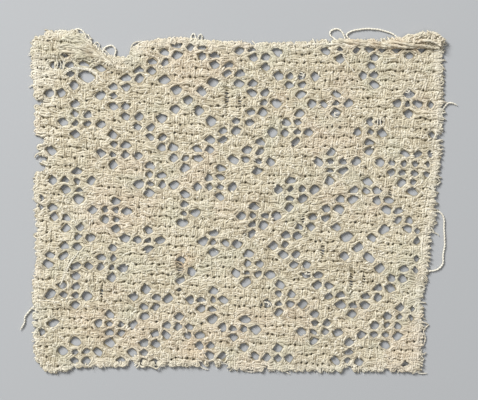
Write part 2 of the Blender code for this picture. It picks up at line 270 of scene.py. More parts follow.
# Loose threads, each a route in mm from where it leaves the cloth, and those with a frayed end
LOOSE_THREADS = {
    "top_loop": ((46.5, 64.5), (41.5, 67), (38.6, 69.2), (38.7, 71.2), (41.3, 72), (43.5, 70.6),
        (45.2, 66.5)),
    "top_arch": ((50.5, 65.5), (46.2, 68), (45.6, 70), (49, 71.4), (54.5, 72), (59.5, 71.5), (64.5, 70),
        (67.5, 67.5)),
    "right_whisker": ((83, 36), (85.4, 38), (87.6, 40.6), (89.8, 40.8), (91.8, 39.9)),
    "side_loop": ((78.5, -3.4), (82.8, -4.2), (85.2, -5.6), (86.2, -8.4), (86.2, -12.6), (86.5, -17.9),
        (85.8, -23.1), (85.6, -26.6), (83, -29.2), (78, -29.8)),
    "left_tail": ((-83.5, -43), (-86.6, -45.2), (-89.4, -48.4), (-89.8, -51), (-91.6, -54.4)),
    "corner_loop": ((-74, 67.5), (-70, 70.6), (-67.2, 71.9), (-64.6, 70.2), (-63.5, 67)),
    "dip_loop": ((-57, 60), (-56.6, 63.4), (-53.6, 65), (-51.6, 63.4), (-52.4, 59.6)),
}
FRAYED_THREADS = ("right_whisker", "left_tail")

# The upper and the lower of the strands that the torn corner is gathered into
GATHER_ROUTES = (
    ((-73, 69.6), (-66, 68.4), (-61, 64.4), (-57.2, 61), (-52.4, 57.2)),
    ((-80, 61.4), (-72, 61.2), (-64.4, 60.6), (-58.6, 59.2), (-52, 56.6)),
)

# Threads that lie on the face of the cloth
STRAY_THREADS = (
    ((-76.2, 59), (-75.6, 57.2), (-76, 55.2)),
    ((-74.9, 59), (-74.4, 57), (-74.8, 55)),
    ((-73.6, 59), (-73, 57), (-73.2, 55)),
    ((-73.6, 53.2), (-71.6, 54.5), (-69, 55.6), (-63.9, 55.2), (-59.7, 53.4), (-57.2, 50.2)),
    ((-73.2, 52.6), (-71.4, 54), (-68.8, 55.1), (-63.7, 54.7), (-59.4, 52.8), (-56.8, 49.6)),
    ((-67.6, 55), (-67.9, 53.2), (-68, 51.4), (-66.6, 49.6), (-64.6, 48.9)),
    ((-67, 55), (-67.3, 53.2), (-67.4, 51.6), (-66, 50)),
    ((82.4, 64.6), (83.6, 64.4), (84.1, 63.5), (83.4, 62.6), (82.4, 62.9), (82.3, 63.7)),
    ((56.9, 34.6), (56.7, 32.8), (57, 31)),
    ((58.2, 34.6), (58.3, 32.8), (58.1, 31)),
    ((59.5, 34.6), (59.4, 32.8), (59.7, 31)),
    ((60.8, 34.6), (60.9, 32.8), (60.6, 31.2)),
    ((83.8, 65.8), (86, 65), (87.6, 65.6)),
    ((83.4, 66.6), (86, 66), (87.4, 66.6)),
    ((-69.4, -23.6), (-71.8, -29.4), (-74.8, -35.4)),
    ((-70.6, -24.2), (-73.2, -30.2), (-73.6, -33.8)),
    ((-66.8, -21.4), (-69.2, -24.6), (-73.4, -31)),
    ((-65, 69.8), (-63, 69.2), (-62, 67.2), (-63.2, 65.2), (-65.2, 64.6)),
    ((-65.4, 69), (-63.8, 68.4), (-63, 66.8), (-64, 65.4), (-66, 65)),
    ((-59.6, 62.8), (-60.6, 64.8), (-59.6, 66.4), (-58.4, 65.4), (-58.8, 63.2)),
    ((-59.4, 63.4), (-56.4, 60.6), (-52.6, 56.6)),
    ((-58.2, 63.8), (-55.2, 60.8), (-51.6, 57.2)),
    ((-57, 64), (-54.4, 61.4), (-51, 58.4)),
    ((-40.6, 66.8), (-43.8, 66.2), (-45.2, 63.8), (-44, 61.4), (-41.4, 60.6)),
    ((-40.2, 65.6), (-42.6, 65.2), (-43.8, 63.6), (-42.8, 61.8), (-40.6, 61.6)),
    ((-39.6, 64.4), (-41.4, 64.2), (-42.2, 63.2), (-41.6, 62.4), (-39.8, 62.4)),
    ((-69.9, -25), (-72.6, -30), (-74.2, -34.8)),
    ((-75, -42.6), (-80, -42), (-85.4, -41.8)),
    ((-59, 62.4), (-56, 59.4), (-53, 56.8)),
    ((-63, 69.6), (-62.2, 67.4), (-63.6, 65.2)),
    ((44, 60.4), (46, 57), (48.6, 53.6)),
)

# How each side is finished: spacing in mm, share of loops, reach in mm, how far in the weave stops
EDGE_FINISH = {
    "top": (1.15, 0.74, 1.2, 0.95), "right": (0.6, 0.12, 1.7, 1.75),
    "bottom": (1.15, 0.50, 0.95, 0.55), "left": (1.3, 0.66, 1.15, 1.05),
}

# Short threads that stand out of the edges, and curls of thread left in openings
WHISKERS = (
    ((-17.4, -66.8), (-16.2, -69.4), (-14, -70.8), (-12.6, -70.9)),
    ((0.6, -69.8), (2.6, -71.4), (5.7, -71.9), (9.4, -71.6)),
    ((14.6, -69.4), (16.6, -71), (19.1, -71.6), (21.6, -72.9)),
    ((72, -70), (73.7, -71.4), (76.2, -72.6), (79.2, -72.4)),
    ((37.4, -69.6), (37.6, -71.4), (38, -72.9)),
    ((78.6, -13), (80.2, -13.1), (81.8, -13.4), (83.2, -13.9), (84.2, -15)),
    ((80.4, 15.6), (81.8, 15.2), (82.9, 14), (83.2, 12.6)),
    ((-19, 65.6), (-19.9, 68.4), (-18.9, 70), (-17.9, 68.5), (-17.8, 65.8)),
    ((-17.2, 65.8), (-16.8, 68.8), (-15.8, 69.8), (-15.2, 68.6), (-15.6, 65.8)),
    ((-83, 60.8), (-85.6, 61.2), (-88.4, 60.8)),
    ((-83, 61.6), (-86, 62), (-88.2, 61.6)),
    ((-82.6, 52), (-85.4, 51.6), (-88, 52.4)),
    ((-82.6, 48.6), (-86, 48.4), (-88.2, 47.4)),
    ((79.8, -52), (77.6, -54.6), (78.4, -58), (77.4, -61)),
    ((-2, -69.6), (-4.4, -68.6), (-7.4, -68.2), (-9.4, -69.4)),
)
CURLS = (
    (70.8, 45.8, 0.7), (26.7, 52.9, 0.9), (2.7, -14.9, 0.7), (41.4, 36, 0.7), (28.4, -30.4, 0.6),
    (11.8, -43.3, 0.8),
)

# The camera, straight above the middle of the cloth
CAMERA_HEIGHT = 0.474
CAMERA_LENS = 85.0
CAMERA_SENSOR = 36.0
CAMERA_NEAREST = 0.01
CAMERA_ASIDE = 0.2 * MM

# Each light: name, place, size, power
LIGHTS = (("key", (-1.05, 1.15, 1.15), 0.70, 60.0), ("fill", (0.90, -0.60, 1.60), 0.90, 8.0))
WORLD_LIGHT = 0.25
FLOOR_GREY = (0.37, 0.38, 0.39, 1.0)

# Added to a length before something is divided by it
NEVER_ZERO = 1e-12

rng = random.Random(11)
dice = np.random.default_rng(7)


def chance(column, row, draw):
    """An even value from -1 to 1 that belongs to one cell and one draw."""
    return random.Random("%d %d %d" % (column, row, draw)).uniform(-1.0, 1.0)


def sway(across, down, wave):
    """How far one gentle wave of the mesh moves points."""
    size, columns, rows, share = wave
    turns = share + (across / columns if columns else 0.0) + (down / rows if rows else 0.0)
    return size * np.sin(2.0 * np.pi * turns)


def mesh_points(columns, rows):
    """The places of points of the mesh, given in cells."""
    across = np.asarray(columns, float) - MIDDLE_COLUMN
    down = np.asarray(rows, float) - MIDDLE_ROW
    x = MIDDLE_X + MESH_ACROSS * across + COLUMN_LEAN * down + TAPER * across * down
    y = MIDDLE_Y - MESH_DOWN * down + ROW_DROP * across + ROW_SPREAD * across ** 2 * down
    x = x + sum(sway(across, down, wave) for wave in SWAYS_ACROSS)
    y = y + sum(sway(across, down, wave) for wave in SWAYS_DOWN)
    moved_x, moved_y = x, y
    for at_x, at_y, reach_x, reach_y, shift_x, shift_y in PULLS:
        away = ((x / MM - at_x) / reach_x) ** 2 + ((y / MM - at_y) / reach_y) ** 2
        moved_x = moved_x + shift_x * MM * np.exp(-away)
        moved_y = moved_y + shift_y * MM * np.exp(-away)
    return np.stack([moved_x, moved_y], axis=-1)


def quiver(columns, rows):
    """The small scallops of the rows."""
    seam = np.round(rows + 0.5)
    scallop = 0.27 * np.cos(2.0 * np.pi * (columns + 0.17 * seam))
    long_wave = 0.24 * np.sin(2.0 * np.pi * (0.37 * columns + 0.61 * rows))
    return (scallop + long_wave + 0.14 * np.sin(2.0 * np.pi * (0.71 * columns - 0.83 * rows))) * MM


def from_lozenge(column, row):
    """How many cells across and down the nearest lozenge's centre is."""
    across = abs((column - LOZENGE_COLUMN + HALF_DROP) % REPEAT - HALF_DROP)
    down = abs((row - LOZENGE_ROW + HALF_DROP) % REPEAT - HALF_DROP)
    if across + down > HALF_DROP:
        return HALF_DROP - across, HALF_DROP - down
    return across, down


def in_cross(across, down):
    """Whether a cell belongs to one of the small crosses that ring a lozenge."""
    for centre_across in range(0, CROSS_RING + 1, CROSS_SPACING):
        centre_down = CROSS_RING - centre_across
        beyond_across = across - centre_across
        beyond_down = down - centre_down
        if beyond_down == 0 and -2 <= beyond_across <= 1:
            return centre_across > 0 or abs(beyond_across) <= 1
        if beyond_across == 0 and -2 <= beyond_down <= 1:
            return centre_down > 0 or abs(beyond_down) <= 1
        at_tip = centre_across == 0 or centre_down == 0
        if beyond_across == -1 and beyond_down == -1 and not at_tip:
            return True
    return False


def is_open(column, row):
    """Whether the pattern leaves a cell of the mesh undarned."""
    if (column, row) in CLOSED_CELLS:
        return False
    if (column, row) in WORN_CELLS:
        return True
    across, down = from_lozenge(column, row)
    if across == down and across <= SALTIRE_REACH:
        return True
    return across + down in LATTICE_LINES or in_cross(across, down)


def open_neighbours(column, row):
    beside = ((1, 0), (-1, 0), (0, 1), (0, -1))
    return sum(is_open(column + across, row + down) for across, down in beside)


def reach_at(table, places):
    """The reach between a side table's rows, eased so that the line has no corners."""
    rows = np.array(sorted(table)) * MM
    places = np.clip(places, rows[0, 0], rows[-1, 0])
    after = np.clip(np.searchsorted(rows[:, 0], places), 1, len(rows) - 1)
    share = (places - rows[after - 1, 0]) / (rows[after, 0] - rows[after - 1, 0])
    eased = share * share * (3.0 - 2.0 * share)
    return rows[after - 1, 1] + (rows[after, 1] - rows[after - 1, 1]) * eased


def side_points(side):
    """Points of one side without its fraying, at an even step."""
    table, upright = SIDES[side]
    outward = 1.0 if table[0][1] > 0.0 else -1.0
    start, end = table[0][0] * MM, table[-1][0] * MM
    places = np.linspace(start, end, round(abs(end - start) / OUTLINE_STEP) + 1)
    reach = reach_at(table, places)
    reach = reach - outward * (EDGE_FINISH[side][3] * MM + bitten(side, places))
    x, y = (reach, places) if upright else (places, reach)
    across = (x - MIDDLE_X - COLUMN_LEAN * (MIDDLE_Y - y) / MESH_DOWN) / MESH_ACROSS
    down = (MIDDLE_Y + ROW_DROP * across - y) / MESH_DOWN
    seam = (down if upright else across) + 0.5
    reach = reach - outward * NOTCH * np.exp(-((seam - np.round(seam)) / NOTCH_WIDTH) ** 2)
    return np.stack([reach, places] if upright else [places, reach], axis=1)


def bitten(side, places):
    """How deep the cloth is bitten at places along a side."""
    depth = np.zeros(np.shape(places))
    for bite_at, half_wide, deepest in BITES[side]:
        near = np.abs(places / MM - bite_at) / half_wide
        depth = np.maximum(depth, deepest * MM * np.clip(1.0 - near * near, 0.0, 1.0))
    return depth


def linked(name, data):
    """A new object of the scene that shows some data."""
    made = bpy.data.objects.new(name, data)
    bpy.context.scene.collection.objects.link(made)
    return made


OUTLINE = np.concatenate([side_points(side) for side in SIDES])


def inside_outline(points):
    """Which points lie inside the cloth's outline."""
    inside = np.zeros(len(points), bool)
    x, y = points[:, 0], points[:, 1]
    for start, end in zip(OUTLINE, np.roll(OUTLINE, -1, axis=0)):
        between = (start[1] > y) != (end[1] > y)
        if between.any():
            slope = (end[0] - start[0]) / (end[1] - start[1])
            inside ^= between & (x < start[0] + (y - start[1]) * slope)
    return inside


def edge_distance(points):
    """How far points are from the outline, measured to its nearest point."""
    nearest = np.full(len(points), 1.0)
    for corner in OUTLINE:
        gap = np.hypot(points[:, 0] - corner[0], points[:, 1] - corner[1])
        nearest = np.minimum(nearest, gap)
    return nearest


class Opening:
    """A gap that the threads are parted around: its four sides bulge unevenly."""

    def __init__(self, centre, half, lean=(0.0, 0.0), limits=None, middle=None,
                 skew=(0.0, 0.0, 0.0, 0.0), level_too=True):
        self.centre = np.array(centre)
        self.half, self.lean, self.skew = half, lean, skew
        self.middle, self.level_too = middle, level_too
        self.limits = limits or (half[0] * LIMIT_WIDE,) * 2 + (half[1] * LIMIT_HIGH,) * 2

    def gap(self, along, axis, side, allowance):
        """How far one side lies from the middle line at places along it; 0 beyond its ends."""
        reach = (self.half[1 - axis] + allowance) * GAP_OVERRUN
        share = np.clip(along / reach, -1.0, 1.0)
        peak = self.skew[2 * axis + (0 if side > 0 else 1)]
        share = np.where(share > peak, (share - peak) / (1.0 - peak), (peak - share) / (1.0 + peak))
        return (self.half[axis] + allowance) * (1.0 - share ** OPENING_ROUNDNESS)

    def rim(self, angles):
        """The radius of the opening in the given directions, found by halving."""
        low, high = np.zeros(len(angles)), np.full(len(angles), 2.0 * max(self.half))
        for _ in range(RIM_HALVINGS):
            middle = (low + high) / 2.0
            x, y = middle * np.cos(angles), middle * np.sin(angles)
            within = np.abs(x) < np.where(x > 0.0, self.gap(y, 0, 1, 0.0), self.gap(y, 0, -1, 0.0))
            within &= np.abs(y) < np.where(y > 0.0, self.gap(x, 1, 1, 0.0), self.gap(x, 1, -1, 0.0))
            low, high = np.where(within, middle, low), np.where(within, high, middle)
        return low

    def corners(self, count):
        angles = 2.0 * np.pi * (np.arange(count) + 0.5) / count
        radius = self.rim(angles) + RIM_CLEARANCE
        x, y = radius * np.cos(angles), radius * np.sin(angles)
        return self.centre + np.stack([x + self.lean[0] * y, y + self.lean[1] * x], axis=1)

    def part(self, places, crowding, axis, side, allowance):
        """Push a thread aside: an upright one (axis 0) sideways, a level one (axis 1) up or down."""
        along = places[:, 1 - axis] - self.centre[1 - axis]
        near = np.abs(along) < (self.half[1 - axis] + allowance) * GAP_OVERRUN
        if not near.any() or (axis == 1 and not self.level_too):
            return
        along = along[near]
        gap = self.gap(along, axis, side, allowance)
        away = side * (places[near, axis] - self.centre[axis] - self.lean[axis] * along)
        limit = max(self.limits[2 * axis + (0 if side > 0 else 1)], gap.max() * 1.1)
        share = np.clip(away / limit, 0.0, 1.0)
        shift = np.maximum(gap + (limit - gap) * share - away, 0.0) * np.minimum(1.0, gap / FADE_IN)
        shift[away > limit] = 0.0
        places[near, axis] += side * shift
        squeezed = np.minimum(1.0, gap / (0.5 * gap.max())) * (1.0 - share)
        crowding[near] = np.maximum(crowding[near], squeezed)


def cell_opening(column, row):
    """The opening of one undarned cell."""
    half_wide, half_high = CELL_SIZE[min(open_neighbours(column, row), 4)]
    if column in EDGE_COLUMNS:
        half_wide, half_high = EDGE_CELL[0] * half_wide, EDGE_CELL[1] * half_high
    half_wide *= OPENED_WIDE + CELL_UNEVEN * chance(column, row, 1)
    half_high *= OPENED_HIGH + CELL_UNEVEN * chance(column, row, 2)
    centre = mesh_points(column, row)
    centre = centre + CELL_DRIFT * np.array([chance(column, row, 3), chance(column, row, 4)])
    limits = tuple(
        pitch * LIMIT_IN_CELLS[0 if is_open(column + across, row + down) else 1]
        for pitch, across, down in ((MESH_ACROSS, 1, 0), (MESH_ACROSS, -1, 0),
                                    (MESH_DOWN, 0, -1), (MESH_DOWN, 0, 1))
    )
    lean = (CELL_LEAN[0] * chance(column, row, 5), CELL_LEAN[1] * chance(column, row, 11))
    skew = tuple(CELL_SKEW * chance(column, row, draw) for draw in (13, 14, 15, 16))
    return Opening(centre, (half_wide, half_high), lean, limits, (column, row), skew)


def pattern_openings():
    """Every open cell of the repeat that lies on the cloth, the torn gaps and the ladders."""
    openings = []
    for row in PATTERN_ROWS:
        for column in PATTERN_COLUMNS:
            if is_open(column, row):
                opening = cell_opening(column, row)
                on_cloth = inside_outline(opening.corners(8)).mean()
                if on_cloth > SHARE_ON_CLOTH and not near_tear(opening.centre):
                    openings.append(opening)
    for x, y, wide, high, turn in TEARS:
        lean = (0.0, math.tan(math.radians(turn)))
        openings.append(Opening((x * MM, y * MM), (wide * MM, high * MM), lean))
    for x, y, wide, high in LADDERS:
        openings.append(Opening((x * MM, y * MM), (wide * MM, high * MM), level_too=False))
    return openings


def near_tear(centre):
    """Whether a cell would run into one of the gaps of the torn corner."""
    return any(
        x < TORN_CORNER_END and wide > 1.0
        and np.hypot(centre[0] - x * MM, centre[1] - y * MM) < (wide + TEAR_MARGIN) * MM
        for x, y, wide, _, _ in TEARS
    )


def thin_patch(column, row):
    """How much more open the darning is near the thin patches of the cloth."""
    return max(0.0, *(THIN_SHARE * (1.0 - math.hypot(column - at_column, row - at_row) / reach)
                      for at_column, at_row, reach in THIN_PATCHES))


def pinhole_openings():
    """The small gaps along the seams between two darned rows."""
    holes = []
    for row in ROWS:
        for half_column in range(2 * COLUMNS.start, 2 * COLUMNS.stop):
            column = half_column // 2
            darned = not is_open(column, row) and not is_open(column, row + 1)
            strength = 0.5 + 0.5 * chance(half_column, row, 7)
            crowd = math.sin(0.9 * column + 0.5 * row) + math.sin(0.43 * column - 0.8 * row + 1.0)
            if not darned or strength > PINHOLE_SHARE + 0.12 * crowd + thin_patch(column, row):
                continue
            aside = 0.0 if half_column % 2 else 0.1 * math.copysign(1.0, chance(half_column, row, 8))
            place = mesh_points(half_column / 2.0 + aside, row + 0.5)
            place = place + np.array([0.0, quiver(half_column / 2.0 + aside, row + 0.5)])
            drift = np.array([chance(half_column, row, 9), chance(half_column, row, 17)])
            place = place + PINHOLE_DRIFT * drift
            size = abs(chance(half_column, row, 18))
            half = tuple((least + more * size) * MM for least, more in PINHOLE_SIZE)
            lean = (0.5 * chance(half_column, row, 10), 0.0)
            holes.append(Opening(place, half, lean, PINHOLE_LIMITS))
    return [hole for hole in holes if inside_outline(hole.corners(5)).all()]


CELLS = pattern_openings()


def clear_of_cells(hole):
    """Whether a pinhole leaves some cloth between itself and every open cell."""
    for cell in CELLS:
        away = hole.centre - cell.centre
        gap = np.hypot(*away)
        if gap < 6.0 * MM:
            angle = np.array([math.atan2(away[1], away[0])])
            if gap < cell.rim(angle)[0] + max(hole.half) + PINHOLE_FROM_CELL:
                return False
    return True


def clear_pinholes(holes):
    """The pinholes that keep clear of the cells and of each other."""
    kept = []
    for hole in holes:
        apart = all(np.hypot(*(hole.centre - other.centre)) > PINHOLE_APART for other in kept[-90:])
        if apart and clear_of_cells(hole):
            kept.append(hole)
    return kept


PINHOLES = clear_pinholes(pinhole_openings())
CELL_CENTRES = np.array([cell.centre for cell in CELLS])
PINHOLE_CENTRES = np.array([hole.centre for hole in PINHOLES])


def part_thread(places, own, axis):
    """Part one thread from every opening near it; own is its column or row in the mesh."""
    places = np.array(places)
    crowding, slight = np.zeros(len(places)), np.zeros(len(places))
    for openings, centres, reach, allowance, crowd in (
            (PINHOLES, PINHOLE_CENTRES, PINHOLE_REACH, PINHOLE_ALLOWANCE, slight),
            (CELLS, CELL_CENTRES, CELL_REACH, RIM_ALLOWANCE, crowding)):
        order = np.argsort(places[:, 1 - axis])
        line = np.interp(centres[:, 1 - axis], places[order, 1 - axis], places[order, axis])
        for index in np.flatnonzero(np.abs(centres[:, axis] - line) < reach):
            opening = openings[index]
            side = side_of(opening, line[index], own, axis)
            opening.part(places, crowd, axis, side, allowance)
    return places, crowding


def side_of(opening, level, own, axis):
    """On which side of an opening a thread passes: 1 for right or above, else -1."""
    if opening.middle is not None and axis == 0 and abs(own - opening.middle[0]) < 0.05:
        return 1.0 if chance(opening.middle[0], opening.middle[1], 12) > 0.0 else -1.0
    return 1.0 if level > opening.centre[axis] else -1.0


def route_distance(points, route):
    """How far points are from a route given in mm."""
    nearest = np.full(len(points), 1.0)
    for start, end in zip(route, route[1:]):
        start, end = np.array(start) * MM, np.array(end) * MM
        span = end - start
        share = np.clip(((points - start) @ span) / (span @ span), 0.0, 1.0)
        foot = start + share[:, None] * span
        nearest = np.minimum(nearest, np.hypot(*(points - foot).T))
    return nearest


def lift(points):
    """How far the cloth stands above its flat level, with its swells and pleats."""
    height = np.zeros(len(points))
    for size, waves_across, waves_up, share in SWELLS:
        turns = (waves_across * points[:, 0] + waves_up * points[:, 1]) / SWELL_LENGTH + share
        height += size * np.sin(2.0 * np.pi * turns)
    for high, wide, route in PLEATS:
        near = route_distance(points, route) / (wide * MM)
        height += high * MM * np.exp(-near * near)
    return height


class Yarns:
    """Paths that are to become tubes of yarn, with what their material reads."""

    def __init__(self):
        self.places, self.edges, self.count = [], [], 0
        self.looks = {"girth": [], "tint": [], "wear": []}

    def add(self, places, *looks):
        """Add one path; its girth, tint and wear are numbers or one value for each point."""
        amount = len(places)
        places = np.array(places, float)
        places[:, 2] = np.maximum(places[:, 2], np.asarray(looks[0]) + ABOVE_FLOOR)
        self.places.append(places)
        order = np.arange(self.count, self.count + amount)
        self.edges.append(np.stack([order[:-1], order[1:]], axis=1))
        for values, given in zip(self.looks.values(), looks):
            values.append(np.broadcast_to(np.asarray(given, float), (amount,)))
        self.count += amount

    def piece(self, name, sides, material):
        """Turn the paths into one plain mesh piece with the yarn tree."""
        mesh = bpy.data.meshes.new(name)
        places, edges = np.concatenate(self.places), np.concatenate(self.edges)
        mesh.vertices.add(len(places))
        mesh.vertices.foreach_set("co", places.astype(np.float32).ravel())
        mesh.edges.add(len(edges))
        mesh.edges.foreach_set("vertices", edges.astype(np.int32).ravel())
        for label, values in self.looks.items():
            layer = mesh.attributes.new(label, "FLOAT", "POINT")
            layer.data.foreach_set("value", np.concatenate(values).astype(np.float32))
        mesh.update()
        paths = linked(name + "_paths", mesh)
        modifier = paths.modifiers.new("grow", "NODES")
        modifier.node_group = YARN_TREE
        for item in YARN_TREE.interface.items_tree:
            if item.name in ("Sides", "Material"):
                modifier[item.identifier] = sides if item.name == "Sides" else material
        paths.update_tag()
        bpy.context.view_layer.update()
        evaluated = paths.evaluated_get(bpy.context.evaluated_depsgraph_get())
        mesh = bpy.data.meshes.new_from_object(evaluated)
        mesh.name = name
        paths.modifiers.remove(modifier)
        bpy.data.objects.remove(paths)
        return linked(name, mesh)


class Shade:
    """A socket of a node tree; in a material it takes part in plain arithmetic."""

    def __init__(self, tree, socket=None):
        self.tree, self.socket = tree, socket

    def node(self, kind, settings=None, inputs=None, output=0):
        """Add any node: its settings first, then the values or links of its sockets."""
        made = self.tree.nodes.new(kind)
        for key, value in (settings or {}).items():
            if key == "stops":
                set_stops(made.color_ramp, value)
            else:
                setattr(made, key, value)
        for key, value in (inputs or {}).items():
            if isinstance(value, Shade):
                self.tree.links.new(value.socket, made.inputs[key])
            else:
                made.inputs[key].default_value = value
        return Shade(self.tree, made.outputs[output])

    def math(self, operation, first, second):
        return self.node("ShaderNodeMath", {"operation": operation}, {0: first, 1: second})

    def __add__(self, other):
        return self.math("ADD", self, other)

    def __sub__(self, other):
        return self.math("SUBTRACT", self, other)

    def __rsub__(self, other):
        return self.math("SUBTRACT", other, self)

    def __mul__(self, other):
        return self.math("MULTIPLY", self, other)

    __radd__ = __add__
    __rmul__ = __mul__

    def sine(self):
        return self.math("SINE", self, 0.0)

    def eased(self, low, high, start=0.0, end=1.0):
        """This value's share between two levels, eased, as a value from start to end."""
        return self.node("ShaderNodeMapRange", {"interpolation_type": "SMOOTHSTEP"},
                         {"Value": self, "From Min": low, "From Max": high,
                          "To Min": start, "To Max": end})

    def noise(self, scale, detail=2.0, roughness=0.5):
        """Noise read at this vector."""
        return self.node("ShaderNodeTexNoise", {}, {"Vector": self, "Scale": scale,
                                                    "Detail": detail, "Roughness": roughness})

    def moved(self, place):
        return self.node("ShaderNodeMapping", {}, {"Vector": self, "Location": place})

    def tinted(self, colour, share):
        """This colour mixed with another by a share."""
        return self.node("ShaderNodeMix", {"data_type": "RGBA", "blend_type": "MIX"},
                         {"Factor": share, 6: self, 7: colour}, output=2)


def set_stops(ramp, stops):
    for element, (place, colour) in zip(ramp.elements, stops):
        element.position, element.color = place, colour
    for place, colour in stops[2:]:
        ramp.elements.new(place).color = colour


def yarn_tree():
    """A tree that makes a tube along every path, as thick as its girth says."""
    tree = bpy.data.node_groups.new("yarn_along_paths", "GeometryNodeTree")
    for name, way, kind in (("Geometry", "INPUT", "Geometry"), ("Sides", "INPUT", "Int"),
                            ("Material", "INPUT", "Material"), ("Geometry", "OUTPUT", "Geometry")):
        tree.interface.new_socket(name, in_out=way, socket_type="NodeSocket" + kind)
    given = tree.nodes.new("NodeGroupInput").outputs
    geometry, sides, material = (Shade(tree, given[name]) for name in ("Geometry", "Sides", "Material"))

    def step(kind, inputs=None, settings=None, output=0):
        return Shade(tree).node("GeometryNode" + kind, settings, inputs, output)

    def marked(curve, name, measure):
        value = step("SplineParameter", output=measure)
        return step("StoreNamedAttribute", {"Geometry": curve, "Name": name, "Value": value},
                    {"data_type": "FLOAT", "domain": "POINT"})

    girth = step("InputNamedAttribute", {"Name": "girth"}, {"data_type": "FLOAT"})
    paths = step("MeshToCurve", {"Mesh": geometry})
    sized = step("SetCurveRadius", {"Curve": paths, "Radius": girth})
    upright = step("SetCurveNormal", {"Curve": sized}, {"mode": "Z_UP"})
    ring = step("CurvePrimitiveCircle", {"Resolution": sides, "Radius": 1.0})
    tube = step("CurveToMesh", {"Curve": marked(upright, "along", "Length"), "Fill Caps": True,
                                "Profile Curve": marked(ring, "around", "Factor"),
                                "Scale": girth})
    smooth = step("SetShadeSmooth", {"Geometry": tube})
    real = step("RealizeInstances", {"Geometry": smooth})
    dyed = step("SetMaterial", {"Geometry": real, "Material": material})
    tree.links.new(dyed.socket, tree.nodes.new("NodeGroupOutput").inputs[0])
    return tree


YARN_TREE = yarn_tree()


def new_material(name):
    """A material, its Principled shader and a Shade to build its nodes from."""
    material = bpy.data.materials.new(name)
    material.use_nodes = True
    return material, material.node_tree.nodes["Principled BSDF"], Shade(material.node_tree)


def attribute(start, name):
    return start.node("ShaderNodeAttribute", {"attribute_name": name}, output="Fac")


# Cotton colours
DEEP_CREAM = (0.27, 0.225, 0.15, 1.0)
MID_CREAM = (0.55, 0.495, 0.37, 1.0)
PALE_CREAM = (0.75, 0.70, 0.575, 1.0)
ROSY = (0.60, 0.47, 0.37, 1.0)
GREENISH = (0.50, 0.51, 0.40, 1.0)
BLEACHED = (0.93, 0.91, 0.84, 1.0)
# Painted shade for what lies deep between the threads
HOLLOW_SHADE = (0.235, 0.205, 0.13, 1.0)
RUST = (0.52, 0.33, 0.18, 1.0)
CREAM_STOPS = ((0.18, DEEP_CREAM), (0.50, MID_CREAM), (0.86, PALE_CREAM))
WORN_WHITE = 0.62
# How strongly that painted shade darkens the lowest threads
HOLLOW_SHADE_SHARE = 0.76
BUMP_DEPTH = 0.2 * MM

# Stains: place in mm, radius in mm, strength
STAINS = (
    (-22.5, -25.8, 7, 0.55), (-17, -62, 9, 0.35), (-60, -52, 12, 0.18), (48, 65.8, 5, 0.4),
    (57, 65.2, 5, 0.5), (66, 65, 5.5, 0.55), (75, 65.4, 5.5, 0.5), (20, 40, 10, 0.12),
)

# Patches washed whiter: place in mm, radius in mm, strength
FADED = (
    (-82, 54, 10, 0.34), (-66, -4, 12, 0.12), (-62, 52, 6, 0.2), (74, 52, 9, 0.1),
)


def cotton(name, lightness, hollow_shade_low, hollow_shade_high, twist):
    """Matt, slightly stained cotton yarn; what lies deep between threads is painted darker, as shade."""
    material, shader, start = new_material(name)
    place = start.node("ShaderNodeTexCoord", output="Object")
    height = start.node("ShaderNodeSeparateXYZ", {}, {0: place}, output=2)
    tint, wear = attribute(start, "tint"), attribute(start, "wear")

    patch = place.noise(620.0, 3.0, 0.6)
    fleck = place.noise(2300.0, 2.0, 0.6)
    shade = tint * 0.50 + patch * 0.35 + fleck * 0.45 - 0.15 + lightness
    colour = start.node("ShaderNodeValToRGB", {"stops": CREAM_STOPS}, {"Fac": shade})
    rosy = place.moved((0.3, 0.1, 0.0)).noise(34.0, 3.0, 0.55).eased(0.50, 0.66)
    green = place.moved((-0.2, 0.5, 0.0)).noise(58.0, 3.0, 0.6).eased(0.50, 0.66)
    colour = colour.tinted(ROSY, rosy * 0.22).tinted(GREENISH, green * 0.30)
    for tone, spots in ((RUST, STAINS), (BLEACHED, FADED)):
        for x, y, radius, strength in spots:
            away = start.node("ShaderNodeVectorMath", {"operation": "DISTANCE"},
                              {0: place, 1: (x * MM, y * MM, 0.0)}, output="Value")
            spot = away.eased(radius * MM, 0.25 * radius * MM)
            colour = colour.tinted(tone, spot * patch * strength)
    colour = colour.tinted(BLEACHED, wear * WORN_WHITE)
    # Painted shade: the lower a thread lies, the darker it is painted
    colour = colour.tinted(HOLLOW_SHADE, height.eased(hollow_shade_low, hollow_shade_high, 1.0, 0.0) * HOLLOW_SHADE_SHARE)

    along, around = attribute(start, "along"), attribute(start, "around")
    plies = ((along * (2.0 * math.pi / twist)) + around * (2.0 * math.pi)).sine()
    relief = plies * 0.16 + place.noise(5200.0, 3.0, 0.7) * 0.6 + place.noise(1500.0, 2.0, 0.6) * 1.5
    bump = start.node("ShaderNodeBump", {}, {"Strength": 0.55, "Distance": BUMP_DEPTH, "Height": relief})
    for socket, value in (("Base Color", colour), ("Normal", bump), ("Roughness", fleck * 0.18 + 0.78)):
        material.node_tree.links.new(value.socket, shader.inputs[socket])
    for socket, value in (("Specular IOR Level", 0.08), ("Sheen Weight", 0.03), ("Sheen Roughness", 0.5)):
        shader.inputs[socket].default_value = value
    return material


# Each cotton: lightness, the heights over which its painted shade fades out, and the ply twist
WOVEN_COTTON = cotton("woven_cotton", 0.0, 0.50 * MM, 1.10 * MM, 1.6 * MM)
LOOSE_COTTON = cotton("loose_cotton", 0.12, -1.0 * MM, 0.05 * MM, 1.8 * MM)
# The ground is painted dark, as the shade seen deep between the threads
GROUND_SHADE_COTTON = cotton("ground_shade_cotton", -0.25, 0.75 * MM, 1.6 * MM, 1.6 * MM)


